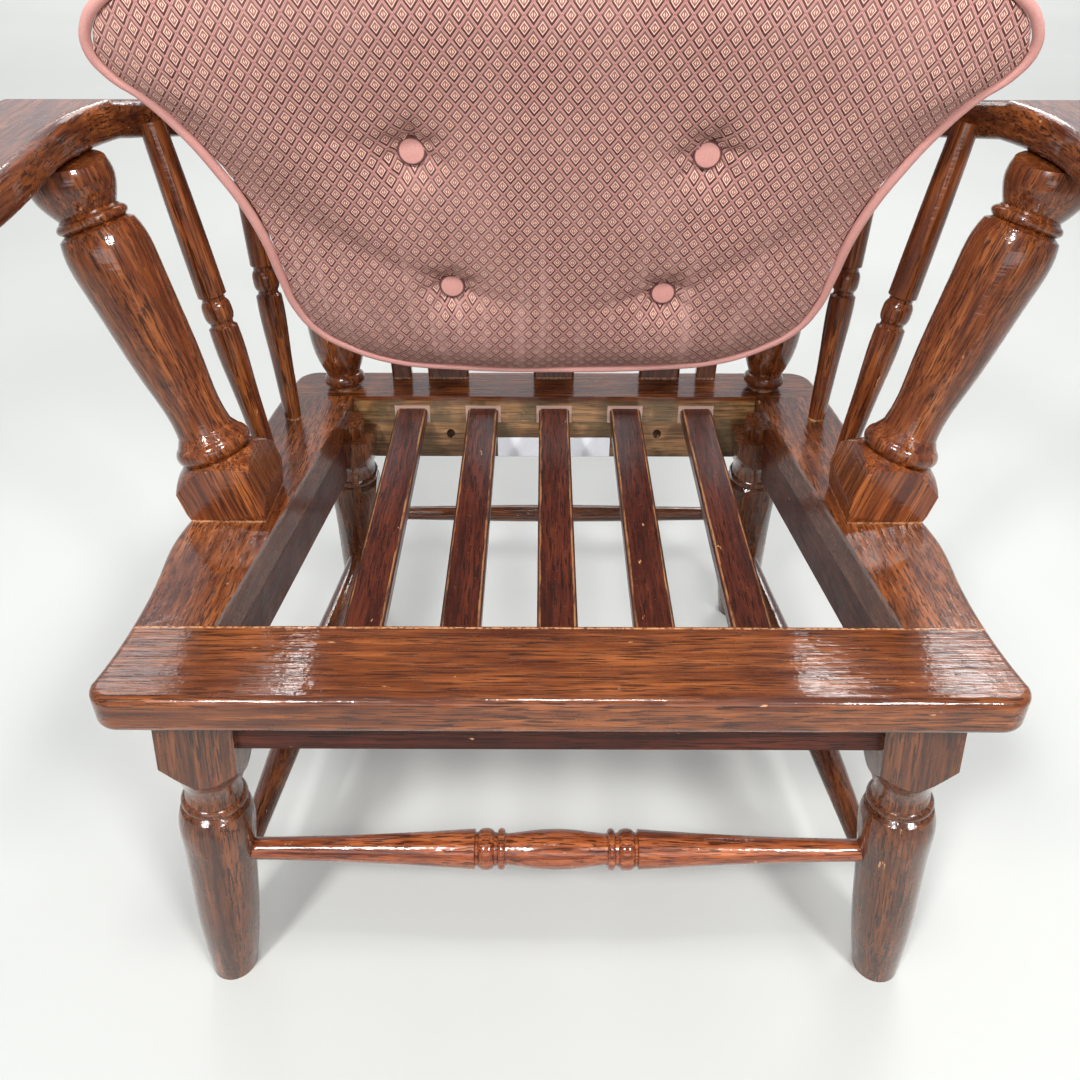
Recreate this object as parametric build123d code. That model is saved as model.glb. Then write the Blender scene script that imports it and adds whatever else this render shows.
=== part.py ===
from build123d import *

import math
import os

os.makedirs("parts", exist_ok=True)

# An oak fireside armchair: a boarded seat frame on four turned legs, turned arm
# posts and spindles under shaped flat arms, a slatted back and a loose cushion.
# While it is designed, the front edge of the seat is y = 0, the floor is z = 0
# and +y runs towards the back. Every part is moved to the centre at the end.

# ---- driving dimensions, mm and degrees --------------------------------------
SEAT_HEIGHT = 340.0        # top of the seat frame at its front edge
SEAT_SLOPE = 4.6           # fall of the seat frame towards the back
BOARD = 29.5               # thickness of the seat boards
ARM_THICK = 28.0           # thickness of the arms
FRONT_HALF_WIDTH = 308.0   # half the width across the front of the seat
BACK_HALF_WIDTH = 281.0    # half the width across the rear rail
NOSE = 5.0                 # the front rail's nose stands out before y = 0
RAIL_DEPTH = 72.0          # front to back size of the front rail
REAR_RAIL_AT = 448.0       # front edge of the rear rail
SEAT_DEPTH = 512.0         # front nose to the rear edge
WELL_FRONT_HALF = 242.5    # half width of the open seat well at the front
WELL_BACK_HALF = 206.5     # and at the back
APRON = 22.0               # thickness of the aprons
APRON_DEPTH = 40.0         # height of the aprons below the boards
ARM_TOP = 618.0            # top of the level front part of the arms
ARM_DROP = 13.8            # fall of the rear part of the arms
ARM_BEND = 332.5           # where that fall begins
BACK_LEAN = 9.0            # lean of the back posts from upright
BACK_HEIGHT = 455.0        # length of the back above the rear rail
POST_AT = 470.0            # the back posts stand here on the rear rail
SLAT_COUNT = 5             # slats lengthwise across the seat well
SLAT_WIDTH = 31.0
SLAT_THICK = 11.0
SLAT_PITCH = 73.3
CUSHION_LEAN = 18.0        # the loose cushion tips forward by this much
CUSHION_THICK = 76.0       # width of the cushion's border
CROWN = 16.0               # rise of its front and rear panels
PIPING_RADIUS = 4.5
SOFT_GAP = 0.4             # the cushion stays this far from its neighbours

SLOPE = math.tan(math.radians(SEAT_SLOPE))
SEAT = Pos(0, 0, SEAT_HEIGHT) * Rot(-SEAT_SLOPE, 0, 0)


def seat_z(y, below=0.0):
    """Height of the seat frame's top plane, or of a plane below it."""
    return SEAT_HEIGHT - y * SLOPE - below / math.cos(math.radians(SEAT_SLOPE))


# ---- helpers -----------------------------------------------------------------
def mirrored(part):
    """The same part on the other side of the chair."""
    return mirror(part, about=Plane.YZ)


def along(start, end):
    """A location at start whose z axis points to end and whose x stays level."""
    axis = Vector(*end) - Vector(*start)
    side = Vector(0, 1, 0).cross(axis).normalized()
    return Location(Plane(origin=start, x_dir=side, z_dir=axis.normalized()))


def turned(*runs):
    """A solid turned about z.

    Each run is a list of (height, radius) points on one smooth curve, and
    straight steps join one run to the next.
    """
    edges = []
    last = (0, runs[0][0][0])
    for run in runs:
        rim = [(radius, height) for height, radius in run]
        edges.append(Line(last, rim[0]))
        if len(rim) == 2:
            edges.append(Line(*rim))
        elif len(rim) > 2:
            edges.append(Spline(*rim))
        last = rim[-1]
    edges.append(Line(last, (0, last[1])))
    edges.append(Line((0, last[1]), (0, runs[0][0][0])))
    return revolve(make_face(Plane.XZ * Wire(edges)), Axis.Z)


def bead(middle, height, radius, neck):
    """Points of a half round bead standing on a neck."""
    half = height / 2
    return [
        (middle - half, neck),
        (middle - half * 0.6, radius * 0.96),
        (middle, radius),
        (middle + half * 0.6, radius * 0.96),
        (middle + half, neck),
    ]


def pin(start, end, radius, length):
    """A round tenon at start, running away from end."""
    return along(start, end) * Pos(0, 0, -length) * Cylinder(
        radius, length + 2, align=(Align.CENTER, Align.CENTER, Align.MIN)
    )


def half_space(side):
    """Everything under (Align.MAX) or over (Align.MIN) the plane z = 0."""
    return Pos(0, 250, 0) * Box(1600, 1600, 400, align=(Align.CENTER, Align.CENTER, side))


def above_seat(part):
    """The part trimmed flush with the top of the seat boards."""
    return part - SEAT * half_space(Align.MAX)


def under_seat(part):
    """The part trimmed flush with the underside of the seat boards."""
    return part - SEAT * Pos(0, 0, -BOARD) * half_space(Align.MIN)


# ---- seat boards -------------------------------------------------------------
def well_half(y):
    """Half width of the seat well at a depth from the front edge."""
    share = (y - RAIL_DEPTH) / (REAR_RAIL_AT - RAIL_DEPTH)
    return WELL_FRONT_HALF + share * (WELL_BACK_HALF - WELL_FRONT_HALF)


def seat_deck():
    """All four boards in one piece, flat, with rounded rims and the open well."""
    corner = 18.0
    rear_corner = 22.0
    right = [
        Line((0, -NOSE), (FRONT_HALF_WIDTH - corner, -NOSE)),
        ThreePointArc(
            (FRONT_HALF_WIDTH - corner, -NOSE),
            (FRONT_HALF_WIDTH - corner * 0.3, corner * 0.3 - NOSE),
            (FRONT_HALF_WIDTH, corner - NOSE),
        ),
        Spline(
            (FRONT_HALF_WIDTH, corner - NOSE),
            (302, 76),
            (303.5, 135),
            (306.5, 175),
            (301.5, 225),
            (287, 330),
            (BACK_HALF_WIDTH, 430),
            (274, SEAT_DEPTH - rear_corner),
        ),
        ThreePointArc(
            (274, SEAT_DEPTH - rear_corner),
            (265, SEAT_DEPTH - 5),
            (248, SEAT_DEPTH),
        ),
        Line((248, SEAT_DEPTH), (0, SEAT_DEPTH)),
    ]
    half = make_face(Wire(right + [Line((0, SEAT_DEPTH), (0, -NOSE))]))
    outline = half + mirrored(half)
    well = make_face(
        Polyline(
            (-WELL_FRONT_HALF, RAIL_DEPTH),
            (WELL_FRONT_HALF, RAIL_DEPTH),
            (WELL_BACK_HALF, REAR_RAIL_AT),
            (-WELL_BACK_HALF, REAR_RAIL_AT),
            close=True,
        )
    )
    deck = extrude(outline, -BOARD)
    rims = deck.edges().filter_by(Plane.XY)
    deck = fillet(rims.filter_by(lambda e: e.center().Z > -1), 6.0)
    low = deck.edges().filter_by(Plane.XY).filter_by(lambda e: e.center().Z < -BOARD + 1)
    deck = fillet(low, 7.0)
    return deck - extrude(well, -BOARD)


def deck_part(deck, x0, x1, y0, y1):
    """The share of the deck between four straight saw cuts, on the chair."""
    box = Pos((x0 + x1) / 2, (y0 + y1) / 2, -BOARD / 2) * Box(x1 - x0, y1 - y0, BOARD + 4)
    return SEAT * (deck & box)


# ---- aprons ------------------------------------------------------------------
def flat_board(corners, top, depth):
    """A board of given plan corners, hanging below the seat plane."""
    plan = make_face(Polyline(*corners, close=True))
    return SEAT * Pos(0, 0, -top) * extrude(plan, -depth)


def make_front_apron():
    set_back = 22.0
    reach = 240.0
    corners = [
        (-reach, set_back),
        (reach, set_back),
        (reach, set_back + APRON),
        (-reach, set_back + APRON),
    ]
    return flat_board(corners, BOARD, APRON_DEPTH)


def make_left_apron():
    y0 = 60.0
    y1 = 400.0
    corners = [
        (-well_half(y0), y0),
        (-well_half(y1), y1),
        (-well_half(y1) - APRON, y1),
        (-well_half(y0) - APRON, y0),
    ]
    return flat_board(corners, BOARD, APRON_DEPTH)


def make_rear_apron():
    reach = 236.0
    corners = [
        (-reach, REAR_RAIL_AT),
        (reach, REAR_RAIL_AT),
        (reach, REAR_RAIL_AT + APRON),
        (-reach, REAR_RAIL_AT + APRON),
    ]
    apron = flat_board(corners, BOARD, APRON_DEPTH)
    for x in (-108, 108):
        drill = SEAT * Pos(x, REAR_RAIL_AT, -BOARD - 13) * Rot(60, 0, 0) * Cylinder(4.5, 30)
        apron -= drill
    return apron


def make_label():
    """A blank paper label stuck to the rear apron, along its lower edge."""
    thick = 0.6
    height = 22.0
    low = BOARD + APRON_DEPTH - height / 2 - 0.5
    return SEAT * Pos(0, REAR_RAIL_AT - thick / 2, -low) * Box(118, thick, height)


# ---- seat slats --------------------------------------------------------------
SLAT_FROM = (34.0, 31.8)   # distance from the front edge, depth below the top
SLAT_TO = (458.0, 13.0)


def make_seat_slat(number):
    """One slat, housed in the front apron and in the rear rail."""
    x = (number - (SLAT_COUNT - 1) / 2) * SLAT_PITCH
    start = Vector(x, SLAT_FROM[0], seat_z(*SLAT_FROM))
    run = Vector(x, SLAT_TO[0], seat_z(*SLAT_TO)) - start
    tilt = math.degrees(math.atan2(run.Z, run.Y))
    bar = Box(SLAT_WIDTH, run.length, SLAT_THICK, align=(Align.CENTER, Align.MIN, Align.MAX))
    top = bar.edges().filter_by(Axis.Y).group_by(Axis.Z)[-1]
    return Pos(start.X, start.Y, start.Z) * Rot(tilt, 0, 0) * chamfer(top, 2.5)


# ---- legs --------------------------------------------------------------------
FRONT_LEG_TOP = (-249.5, 42.0)
FRONT_FOOT = (-276.0, 8.0, 0.0)
REAR_LEG_TOP = (-207.0, 418.0)
REAR_FOOT = (-224.0, 462.0, 0.0)


def leg_points(top):
    return (top[0], top[1], seat_z(top[1], BOARD))


def leg_axis(top, foot, z):
    """The point of a leg's centre line at a height."""
    head = Vector(*leg_points(top))
    share = (z - foot[2]) / (head.Z - foot[2])
    place = Vector(*foot) + (head - Vector(*foot)) * share
    return (place.X, place.Y, place.Z)


def make_leg(top, foot, block, size):
    """A turned leg: square block, lamb's tongue, neck, ring and tapered vase."""
    head = leg_points(top)
    length = (Vector(*head) - Vector(*foot)).length
    neck = length - block - 34
    body = turned(
        [(-12, 17.5), (12, 20), (62, 24), (neck - 52, 27.6), (neck - 30, 27.8), (neck - 20, 25.5)],
        bead(neck - 12, 9, 24.5, 21.5),
        [(neck, 20.5), (neck + 13, 23.5), (neck + 25, 29), (neck + 40, size * 0.72)],
        [(length + 30, size * 0.72)],
    )
    square = Pos(0, 0, length / 2) * Box(size, size, length + 100)
    leg = under_seat(along(foot, head) * (body & square))
    leg -= half_space(Align.MAX)
    return leg + pin(head, foot, 14, 18)


# ---- stretchers --------------------------------------------------------------
def stretcher_runs(length, ends, middle, beads):
    """One swelling curve, or two groups of beads either side of a vase."""
    half = length / 2
    swell = ends * 1.08
    if not beads:
        return [[(0, ends), (40, swell), (half, middle), (length - 40, swell), (length, ends)]]
    group = half - 50
    left = [
        [(0, ends), (40, ends + 0.5), (group - 14, middle - 0.5)],
        [(group - 13, middle - 3)],
        bead(group - 5, 13, middle, middle - 3),
        bead(group + 7, 6, middle, middle - 3.5),
        [(group + 12, middle - 4)],
    ]
    vase = [(half - 25, middle - 2.5), (half, middle - 0.5), (half + 25, middle - 2.5)]
    right = [[(length - height, radius) for height, radius in reversed(run)] for run in reversed(left)]
    return [*left, vase, *right]


def make_stretcher(start, end, ends, middle, beads=False):
    """A turned stretcher between two leg centre lines, housed in the legs."""
    a, b = Vector(*start), Vector(*end)
    way = (b - a).normalized() * 14
    a, b = a + way, b - way
    body = turned(*stretcher_runs((b - a).length, ends, middle, beads))
    return along(tuple(a), tuple(b)) * body


# ---- arm posts and spindles --------------------------------------------------
ARM_POST_FOOT = (-264.0, 238.0)
ARM_POST_TOP = (-356.0, 283.0, ARM_TOP - ARM_THICK)
SPINDLES = {
    "front": {"foot": (-263.0, 320.0), "top": (-309.0, 350.0), "size": 0.95, "lift": 0.0},
    "rear": {"foot": (-257.0, 398.0), "top": (-273.0, 436.0), "size": 0.9, "lift": 6.0},
}


def make_left_arm_post():
    """A heavy post: chamfered square block, bead, long vase, rings and a ball."""
    foot = (*ARM_POST_FOOT, seat_z(ARM_POST_FOOT[1]))
    top = ARM_POST_TOP
    length = (Vector(*top) - Vector(*foot)).length
    block = 47.0
    body = turned(
        [(-40, 48), (block - 14, 48)],
        [(block - 13, 47), (block - 5, 38), (block + 1, 30)],
        bead(block + 9, 15, 31, 27),
        [
            (block + 24, 22.5),
            (block + 40, 21.5),
            (block + 72, 24.5),
            (length - 90, 30.5),
            (length - 62, 31),
            (length - 51, 28.5),
        ],
        bead(length - 44, 8, 27, 23.5),
        [(length - 38, 22), (length - 31, 26), (length - 18, 30.5), (length - 2, 28), (length + 20, 22)],
    )
    square = Pos(0, 0, length / 2 - 20) * Box(66, 66, length + 120)
    post = along(foot, top) * (body & square)
    corners = SEAT * Pos(ARM_POST_FOOT[0] - 4, ARM_POST_FOOT[1], 0)
    widest = 44.0
    taper = corners * loft([Rectangle(60, 62), Pos(-12, 3, widest) * Rectangle(90, 90)])
    upper = corners * Pos(0, -250, widest - 4) * half_space(Align.MIN)
    ceiling = Pos(0, 0, ARM_TOP - ARM_THICK) * half_space(Align.MIN)
    post = above_seat(post & (taper + upper)) - ceiling
    return post + pin(foot, top, 15, 18) + pin(top, foot, 14, 16)


def arm_under(y):
    """Height of the arm's underside at a distance from the front of the seat."""
    fall = math.tan(math.radians(ARM_DROP))
    return ARM_TOP - ARM_THICK - max(0.0, (y - ARM_BEND) * fall)


def make_left_spindle(which):
    """A slim turned spindle with one bead half way, housed at both ends."""
    spindle = SPINDLES[which]
    foot = (*spindle["foot"], seat_z(spindle["foot"][1]))
    top = (*spindle["top"], arm_under(spindle["top"][1]))
    length = (Vector(*top) - Vector(*foot)).length
    half = length / 2 + spindle["lift"]
    size = spindle["size"]
    runs = [
        [(-15, 7.5), (0, 8.6), (70, 11.4), (half - 24, 13.2), (half - 14, 12.8)],
        [(half - 12, 10.2)],
        bead(half, 19, 13.0, 10.2),
        [(half + 12, 10.2)],
        [(half + 14, 12.6), (length - 60, 12.0), (length - 2, 10.8), (length + 12, 10.4)],
    ]
    body = turned(*[[(height, radius * size) for height, radius in run] for run in runs])
    return along(foot, top) * body


# ---- arms --------------------------------------------------------------------
def arm_profile():
    """Side view of an arm: level in front, then falling to the back post."""
    top = [(30, ARM_TOP), (ARM_BEND, ARM_TOP), (560, arm_under(560) + ARM_THICK)]
    under = [(y, z - ARM_THICK) for y, z in reversed(top)]
    return make_face(Polyline(*top, *under, close=True))


def make_left_arm():
    """A flat arm, waved in plan, rounded all along its rim."""
    inner = [
        (-337, 90),
        (-333, 150),
        (-338, 215),
        (-342, 262),
        (-334, 308),
        (-311, 350),
        (-281, 392),
        (-256, 440),
        (-236, 500),
    ]
    outer = [(-278, 536), (-318, 480), (-362, 420), (-408, 350), (-428, 270), (-430, 180), (-428, 96)]
    plan = make_face(
        Wire(
            [
                Spline(*inner),
                ThreePointArc(inner[-1], (-248, 530), outer[0]),
                Spline(*outer),
                ThreePointArc(outer[-1], (-384, 48), inner[0]),
            ]
        )
    )
    column = Pos(0, 0, 400) * extrude(plan, 400)
    side = Plane.YZ * arm_profile()
    slab = Pos(-600, 0, 0) * extrude(side, 500)
    arm = column & slab
    rim = arm.edges().filter_by(lambda e: e.length > 30 and abs(e.tangent_at(0.5).Z) < 0.5)
    return fillet(rim, 9.0)


# ---- back --------------------------------------------------------------------
BACK = Pos(0, POST_AT, seat_z(POST_AT)) * Rot(-BACK_LEAN, 0, 0)
BACK_SPREAD = 34.0         # the posts stand this much wider at the top
CREST_HEIGHT = 66.0
CREST_THICK = 26.0
CREST_BOW = 25.0           # the crest rail curves back by this much
SPLATS = ((0.0, 43.0), (111.0, 43.0), (160.0, 21.0))


def back_x(base, height):
    """Where an upright that starts at base stands at a height up the back."""
    return base + BACK_SPREAD * (base / 217.0) * height / BACK_HEIGHT


def back_y(x):
    """How far behind the posts the curve of the back lies."""
    return CREST_BOW * (1 - (x / 251.0) ** 2)


def make_left_back_post():
    """A round post with a ring over its foot, housed in rail and crest."""
    top = BACK_HEIGHT - CREST_HEIGHT
    start = (BACK * Pos(-217, 0, 0)).position
    end = (BACK * Pos(back_x(-217, top), 0, top)).position
    length = (end - start).length
    body = turned(
        [(-20, 13), (2, 13)],
        [(3, 17)],
        bead(10, 12, 20.5, 17),
        [(19, 17.5), (24, 19.8), (140, 21), (length - 70, 18), (length - 60, 16)],
        bead(length - 50, 14, 18, 15.5),
        [(length - 40, 16.5), (length - 4, 14.5), (length + 22, 14.5)],
    )
    return along(tuple(start), tuple(end)) * body


def make_splat(base, width):
    """A flat upright of the back, housed in the rear rail and the crest."""
    housed = 14.0
    top = BACK_HEIGHT - CREST_HEIGHT + housed
    head = Vector(back_x(base, top), back_y(back_x(base, top)), top)
    foot = Vector(base, CREST_BOW, -housed)
    length = (head - foot).length
    lean = math.degrees(math.atan2(head.X - foot.X, top + housed))
    tip = math.degrees(math.atan2(head.Y - foot.Y, top + housed))
    board = Box(width, 11, length, align=(Align.CENTER, Align.CENTER, Align.MIN))
    board = fillet(board.edges().filter_by(Axis.Z), 3.0)
    return BACK * Pos(foot.X, foot.Y, foot.Z) * Rot(-tip, lean, 0) * board


def make_crest_rail():
    """The bowed top rail of the back, with an arched upper edge."""
    half = 276.0
    low = BACK_HEIGHT - CREST_HEIGHT
    front = [(x, back_y(x) - CREST_THICK / 2) for x in (-half, 0, half)]
    back = [(x, y + CREST_THICK) for x, y in reversed(front)]
    plan = make_face(
        Wire(
            [
                ThreePointArc(*front),
                Line(front[-1], back[0]),
                ThreePointArc(*back),
                Line(back[-1], front[0]),
            ]
        )
    )
    rail = Pos(0, 0, low) * extrude(plan, CREST_HEIGHT + 40)
    arch = make_face(
        Wire(
            [
                Line((-half, low), (half, low)),
                Line((half, low), (half, low + 30)),
                Spline(
                    (half, low + 30),
                    (180, low + 58),
                    (0, low + CREST_HEIGHT + 8),
                    (-180, low + 58),
                    (-half, low + 30),
                ),
                Line((-half, low + 30), (-half, low)),
            ]
        )
    )
    arch = Plane.XZ * arch
    arch = Pos(0, 120, 0) * extrude(arch, 240)
    rail = rail & arch
    rail = fillet(rail.edges().filter_by(lambda e: e.length > 200), 7.0)
    return BACK * rail


# ---- cushion -----------------------------------------------------------------
CUSHION_FOOT = (385.0, 361.0)   # y and z of the middle of the lower front seam
CUSHION = (
    Pos(0, CUSHION_FOOT[0], CUSHION_FOOT[1])
    * Rot(CUSHION_LEAN, 0, 0)
    * Location(Plane.XZ)
)
CUSHION_SIDE = [
    (0, 10),
    (90, 13),
    (150, 21),
    (187, 38),
    (211, 58),
    (224, 85),
    (229, 115),
    (234, 155),
    (243, 190),
    (256, 222),
    (270, 250),
    (291, 280),
    (309, 297),
    (316, 312),
    (312, 328),
    (294, 346),
    (220, 378),
    (115, 397),
    (0, 402),
]
BUTTONS = {
    "upper_left": (-108, 240),
    "upper_right": (109, 237),
    "lower_left": (-88, 112),
    "lower_right": (90, 105),
}


def cushion_outline(grow=0.0, shrink=1.0):
    """The closed edge of the front panel, moved outwards or drawn in."""
    right = [Vector(x, v) for x, v in CUSHION_SIDE]
    left = [Vector(-x, v) for x, v in reversed(CUSHION_SIDE[1:-1])]
    ring = right + left
    middle = Vector(0, 210)
    moved = []
    for i, here in enumerate(ring):
        way = (ring[(i + 1) % len(ring)] - ring[i - 1]).normalized()
        moved.append(middle + (here - middle) * shrink + Vector(way.Y, -way.X) * grow)
    return Wire([Spline(*moved, periodic=True)])


def make_cushion():
    """The stuffed cushion: a border between two gently crowned panels."""
    rim = make_face(cushion_outline())
    inner = make_face(cushion_outline(shrink=0.84))
    pad = extrude(rim, -CUSHION_THICK)
    front = loft([rim, Pos(0, 0, CROWN) * inner], ruled=True)
    behind = Pos(0, 0, -CUSHION_THICK)
    back = loft([behind * rim, behind * Pos(0, 0, -CROWN) * inner], ruled=True)
    return CUSHION * (pad + front + back)


def make_piping(depth):
    """Round cord sewn round a seam of the cushion."""
    path = cushion_outline(PIPING_RADIUS + SOFT_GAP)
    ring = Plane(origin=path @ 0, z_dir=path % 0) * Circle(PIPING_RADIUS)
    return CUSHION * Pos(0, 0, -depth) * sweep(ring, path=path)


def make_button(x, v):
    """One of the covered buttons that draw the front panel in."""
    button = Cylinder(12.5, 6)
    button = fillet(button.edges().group_by(Axis.Z)[-1], 2.5)
    return CUSHION * Pos(x, v, CROWN + 3 + SOFT_GAP) * button


# ---- build -------------------------------------------------------------------
def build():
    """Every part by name, each trimmed where its neighbour is housed in it."""
    parts = {}
    deck = seat_deck()
    parts["front_rail"] = deck_part(deck, -400, 400, -20, RAIL_DEPTH)
    parts["rear_rail"] = deck_part(deck, -400, 400, REAR_RAIL_AT, 600)
    parts["left_side_rail"] = deck_part(deck, -400, 0, RAIL_DEPTH, REAR_RAIL_AT)
    parts["front_apron"] = make_front_apron()
    parts["left_apron"] = make_left_apron()
    parts["rear_apron"] = make_rear_apron()
    parts["blank_label"] = make_label()

    front_leg = make_leg(FRONT_LEG_TOP, FRONT_FOOT, 63, 55)
    rear_leg = make_leg(REAR_LEG_TOP, REAR_FOOT, 6, 46)
    front_axis = leg_axis(FRONT_LEG_TOP, FRONT_FOOT, 140)
    rear_axis = leg_axis(REAR_LEG_TOP, REAR_FOOT, 163)
    opposite = [(-x, y, z) for x, y, z in (front_axis, rear_axis)]
    parts["front_stretcher"] = make_stretcher(front_axis, opposite[0], 8.5, 16, beads=True)
    parts["rear_stretcher"] = make_stretcher(rear_axis, opposite[1], 6.8, 9.5)
    side_front = leg_axis(FRONT_LEG_TOP, FRONT_FOOT, 80)
    side_rear = leg_axis(REAR_LEG_TOP, REAR_FOOT, 113)
    parts["left_stretcher"] = make_stretcher(side_front, side_rear, 9, 14.5)

    parts["left_arm_post"] = make_left_arm_post()
    parts["left_front_spindle"] = make_left_spindle("front")
    parts["left_rear_spindle"] = make_left_spindle("rear")
    parts["left_arm"] = make_left_arm()
    parts["left_back_post"] = make_left_back_post()
    parts["left_front_leg"] = front_leg
    parts["left_rear_leg"] = rear_leg

    for name in [n for n in parts if n.startswith("left_")]:
        parts[name.replace("left_", "right_")] = mirrored(parts[name])

    for number in range(SLAT_COUNT):
        parts[f"seat_slat_{number + 1}"] = make_seat_slat(number)
    for base, width in SPLATS:
        if base == 0:
            parts["centre_back_splat"] = make_splat(base, width)
            continue
        kind = "wide" if width > 30 else "narrow"
        parts[f"left_{kind}_back_splat"] = make_splat(-base, width)
        parts[f"right_{kind}_back_splat"] = make_splat(base, width)
    parts["crest_rail"] = make_crest_rail()

    def house(host, *guests):
        for guest in guests:
            parts[host] = parts[host] - parts[guest]

    slats = [f"seat_slat_{n + 1}" for n in range(SLAT_COUNT)]
    splats = [n for n in parts if n.endswith("_splat")]
    house("front_apron", *slats, "left_front_leg", "right_front_leg")
    house("rear_rail", *slats, *splats, "left_back_post", "right_back_post")
    house("rear_rail", "left_rear_leg", "right_rear_leg")
    house("rear_apron", "left_rear_leg", "right_rear_leg", *splats)
    house("rear_apron", "left_back_post", "right_back_post")
    house("front_rail", "left_front_leg", "right_front_leg")
    house("crest_rail", *splats, "left_back_post", "right_back_post")
    for side in ("left", "right"):
        legs = (f"{side}_front_leg", f"{side}_rear_leg")
        house(legs[0], "front_stretcher", f"{side}_stretcher")
        house(legs[1], "rear_stretcher", f"{side}_stretcher")
        house(f"{side}_apron", *legs)
        uprights = [f"{side}_{n}" for n in ("arm_post", "front_spindle", "rear_spindle")]
        house(f"{side}_side_rail", *uprights, f"{side}_rear_leg", f"{side}_front_leg")
        house(f"{side}_arm", *uprights, f"{side}_back_post")
        house(f"{side}_apron", *uprights)

    parts["back_cushion"] = make_cushion()
    parts["front_piping"] = make_piping(PIPING_RADIUS)
    parts["rear_piping"] = make_piping(CUSHION_THICK - PIPING_RADIUS)
    for name, (x, v) in BUTTONS.items():
        parts[f"{name}_button"] = make_button(x, v)
    return parts


def largest(part):
    """A part without crumbs left over by a cut."""
    solids = part.solids().sort_by(SortBy.VOLUME)
    return solids[-1]


def main():
    parts = build()
    box = Compound([s for p in parts.values() for s in p.solids()]).bounding_box()
    shift = Pos(-box.center().X, -box.center().Y, -box.min.Z)
    for name, part in parts.items():
        export_step(shift * largest(part), f"parts/{name}.step")


main()
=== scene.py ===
import math

import bmesh
import bpy
from mathutils import Matrix, Vector, kdtree


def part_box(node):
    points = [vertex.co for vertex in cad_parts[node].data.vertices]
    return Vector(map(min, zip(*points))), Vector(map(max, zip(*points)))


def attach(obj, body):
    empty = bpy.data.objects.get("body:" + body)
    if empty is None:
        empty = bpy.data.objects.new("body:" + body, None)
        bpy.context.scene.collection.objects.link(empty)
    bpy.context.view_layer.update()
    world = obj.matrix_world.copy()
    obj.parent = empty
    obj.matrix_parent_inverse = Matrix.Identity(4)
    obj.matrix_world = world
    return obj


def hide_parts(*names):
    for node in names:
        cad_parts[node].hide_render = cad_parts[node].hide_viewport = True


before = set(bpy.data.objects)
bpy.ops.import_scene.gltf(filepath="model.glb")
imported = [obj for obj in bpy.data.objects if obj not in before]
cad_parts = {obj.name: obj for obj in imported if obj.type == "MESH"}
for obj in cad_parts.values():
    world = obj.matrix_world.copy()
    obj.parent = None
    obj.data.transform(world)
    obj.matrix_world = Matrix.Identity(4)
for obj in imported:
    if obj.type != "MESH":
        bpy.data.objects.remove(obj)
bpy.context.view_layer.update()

# An oak fireside armchair with a loose, buttoned back cushion. The wooden parts
# are the frame's own nodes with a varnished oak material; the cushion, its
# piping and its buttons are made here. Metres throughout, +Z up, front is -Y.

SEAT_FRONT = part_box("front_rail")[0][1] + 0.005   # the seat's front edge

# ---- the cushion's measures, the same as in the part's source ------------------
CUSHION_FOOT = (0.0, SEAT_FRONT + 0.385, 0.361)
CUSHION_LEAN = 18.0
CUSHION_THICK = 0.076
PIPING_RADIUS = 0.0045
CUSHION_SIDE = (
    (0.000, 0.010),
    (0.090, 0.013),
    (0.150, 0.021),
    (0.187, 0.038),
    (0.211, 0.058),
    (0.224, 0.085),
    (0.229, 0.115),
    (0.234, 0.155),
    (0.243, 0.190),
    (0.256, 0.222),
    (0.270, 0.250),
    (0.291, 0.280),
    (0.309, 0.297),
    (0.316, 0.312),
    (0.312, 0.328),
    (0.294, 0.346),
    (0.220, 0.378),
    (0.115, 0.397),
    (0.000, 0.402),
)
BUTTONS = {
    "upper_left": (-0.108, 0.240),
    "upper_right": (0.109, 0.237),
    "lower_left": (-0.088, 0.112),
    "lower_right": (0.090, 0.105),
}
BUTTON_RADIUS = 0.011

# panel coordinates: x across, y up the cushion's front, z out of it
PANEL = Matrix.Translation(CUSHION_FOOT) @ Matrix.Rotation(math.radians(90 + CUSHION_LEAN), 4, "X")


# ---- materials -----------------------------------------------------------------
def paint(code):
    """A linear colour from a plain hex code."""
    parts = [int(code[i : i + 2], 16) / 255 for i in (0, 2, 4)]
    linear = [c / 12.92 if c < 0.04045 else ((c + 0.055) / 1.055) ** 2.4 for c in parts]
    return (*linear, 1.0)


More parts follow.
